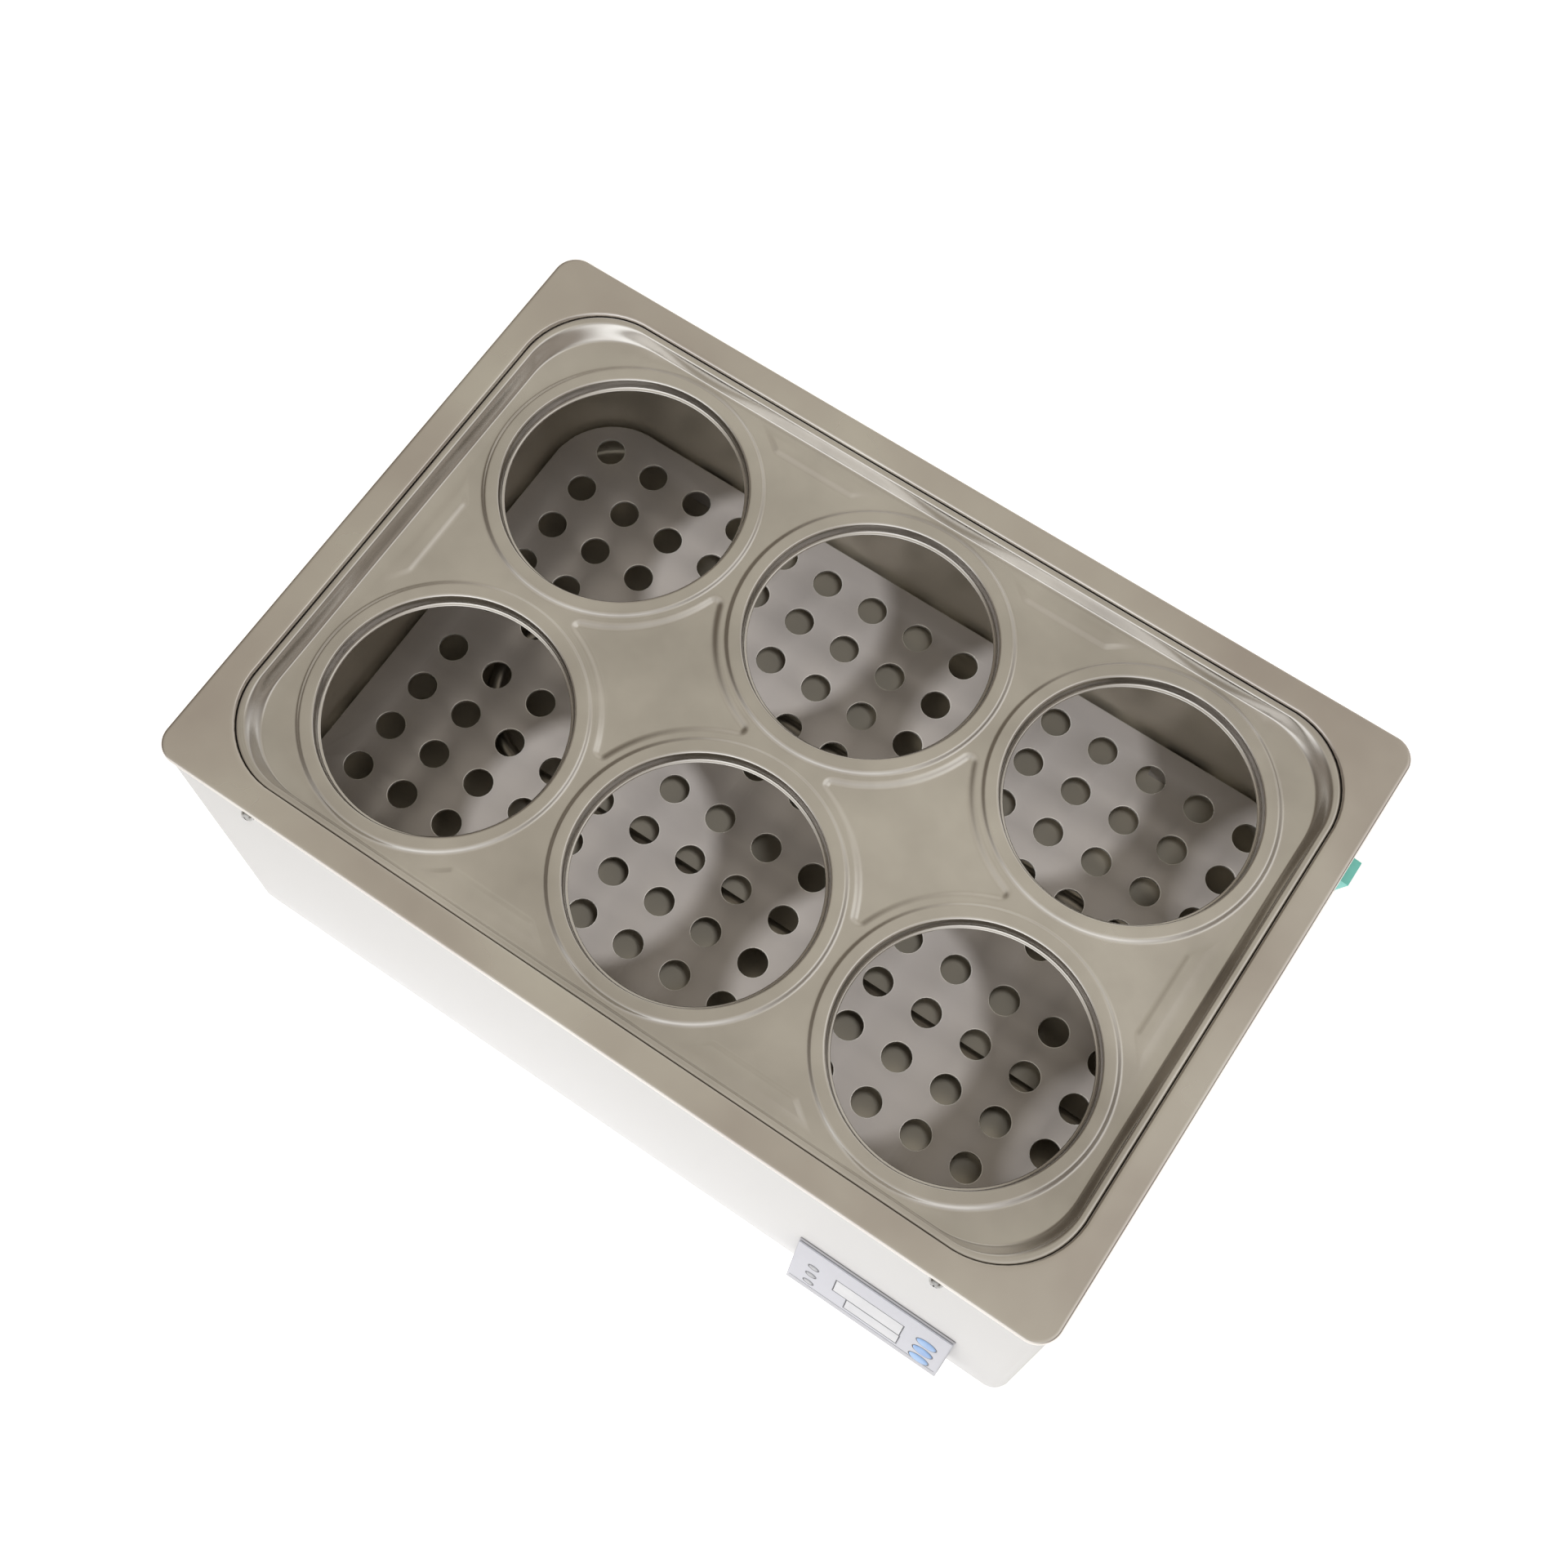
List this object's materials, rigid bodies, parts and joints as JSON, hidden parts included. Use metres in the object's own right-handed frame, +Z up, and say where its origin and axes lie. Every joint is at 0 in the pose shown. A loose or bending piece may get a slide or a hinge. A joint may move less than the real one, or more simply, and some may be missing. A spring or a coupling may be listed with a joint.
{
  "type": "thermostatic water bath",
  "caption": "Bench-top thermostatic water bath: stainless deck and tank in a white housing, lift-off lid with collared round openings, perforated false bottom, wedge control panel and rocker.",
  "frame": {"origin": "middle of the bounding box's underside, on the plane that the feet stand on", "axes": "+Z up, +X along the bath's length towards the rocker switch, -Y at the control panel"},
  "size_m": [0.5014, 0.3544, 0.218],
  "materials": {
    "white_paint": "satin powder coat",
    "stainless": "satin",
    "plated_steel": "zinc plated",
    "brass": "plain",
    "rubber": "matte",
    "silicone": "matte",
    "mineral_wool": "fibrous",
    "panel_plastic": "matte",
    "window_plastic": "gloss",
    "lamp_plastic": "gloss",
    "key_plastic": "matte",
    "rocker_plastic": "gloss, translucent",
    "black_plastic": "matte",
    "white_plastic": "matte",
    "circuit_board": "solder mask"
  },
  "bodies": {
    "bath": {"housing_shell": "white_paint", "base_plate": "plated_steel", "foot_1": "rubber", "foot_2": "rubber", "foot_3": "rubber", "foot_4": "rubber", "foot_screw_1": "plated_steel", "foot_screw_2": "plated_steel", "foot_screw_3": "plated_steel", "foot_screw_4": "plated_steel", "top_deck": "stainless", "deck_screw_1": "plated_steel", "deck_screw_2": "plated_steel", "deck_screw_3": "plated_steel", "deck_screw_4": "plated_steel", "inner_tank": "stainless", "tank_insulation": "mineral_wool", "heating_element": "stainless", "heater_gasket_1": "silicone", "heater_gasket_2": "silicone", "heater_nut_1": "brass", "heater_nut_2": "brass", "heater_terminal_1": "brass", "heater_terminal_2": "brass", "temperature_probe": "stainless", "probe_nut": "brass", "console_shell": "panel_plastic", "control_overlay": "panel_plastic", "display_window_upper": "window_plastic", "display_window_lower": "window_plastic", "display_module_upper": "black_plastic", "display_module_lower": "black_plastic", "tact_switch_1": "black_plastic", "tact_switch_2": "black_plastic", "tact_switch_3": "black_plastic", "status_lamp_1": "lamp_plastic", "status_lamp_2": "lamp_plastic", "status_lamp_3": "lamp_plastic", "control_board": "circuit_board", "switch_body": "black_plastic", "power_board": "circuit_board", "relay": "black_plastic", "transformer": "plated_steel", "terminal_block": "white_plastic", "cord_gland": "black_plastic", "gland_nut": "black_plastic"},
    "lid_body": {"lid": "stainless"},
    "shelf_body": {"false_bottom": "stainless"},
    "rocker_body": {"rocker": "rocker_plastic"},
    "key_1_body": {"key_1": "key_plastic"},
    "key_2_body": {"key_2": "key_plastic"},
    "key_3_body": {"key_3": "key_plastic"}
  },
  "joints": [
    {"name": "lid_lift", "type": "slide", "parent": "bath", "child": "lid_body", "axis": [0, 0, 1], "range_m": [0, 0.12]},
    {"name": "shelf_lift", "type": "slide", "parent": "bath", "child": "shelf_body", "axis": [0, 0, 1], "range_m": [0, 0.078]},
    {"name": "rocker_tilt", "type": "hinge", "parent": "bath", "child": "rocker_body", "pos_m": [0.24277, 0.11995, 0.153], "axis": [0, 1, 0], "range_deg": [-18, 0]},
    {"name": "key_1_press", "type": "slide", "parent": "bath", "child": "key_1_body", "axis": [0, 0.9762, -0.2169], "range_m": [0, 0.0004], "stiffness_N_per_m": 800, "springref_m": -0.0002},
    {"name": "key_2_press", "type": "slide", "parent": "bath", "child": "key_2_body", "axis": [0, 0.9762, -0.2169], "range_m": [0, 0.0004], "stiffness_N_per_m": 800, "springref_m": -0.0002},
    {"name": "key_3_press", "type": "slide", "parent": "bath", "child": "key_3_body", "axis": [0, 0.9762, -0.2169], "range_m": [0, 0.0004], "stiffness_N_per_m": 800, "springref_m": -0.0002}
  ]
}
